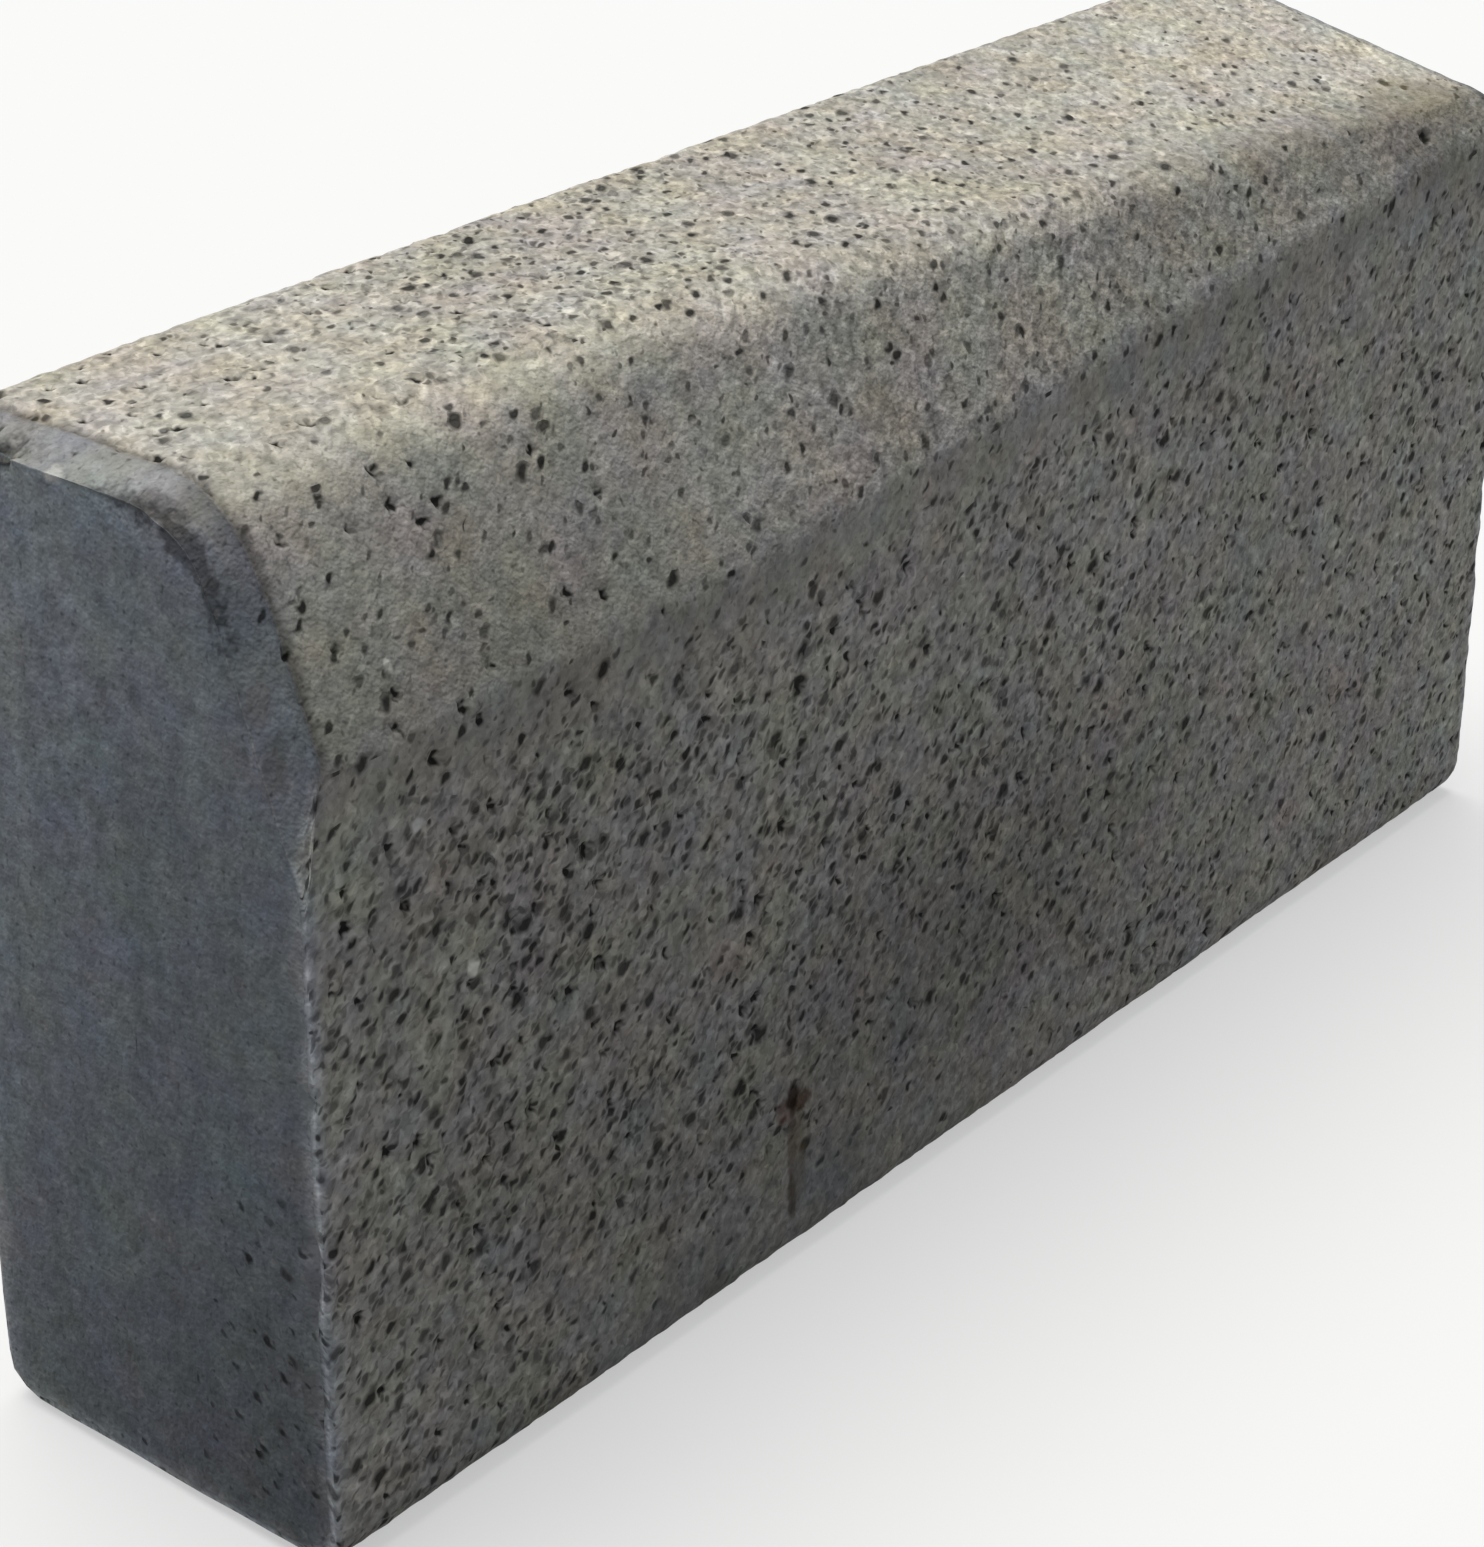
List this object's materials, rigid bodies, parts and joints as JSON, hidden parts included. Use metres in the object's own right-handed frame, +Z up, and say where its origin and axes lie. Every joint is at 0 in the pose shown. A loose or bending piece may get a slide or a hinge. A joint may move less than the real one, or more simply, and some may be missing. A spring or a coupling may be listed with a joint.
{
  "type": "concrete kerb stone",
  "caption": "Precast concrete transition kerb stone: upright road face, batter and rolled nose that run out to a square end, chamfered ends.",
  "frame": {"origin": "middle of the bed, the face that the stone stands on", "axes": "+Z up, +X along the length from the battered end to the square end, -Y towards the road"},
  "size_m": [0.5, 0.11, 0.25],
  "materials": {
    "cast_concrete": "weathered grey vibropressed concrete, open pores, one rust stain"
  },
  "bodies": {
    "root": {"kerb_stone": "cast_concrete"}
  },
  "joints": []
}
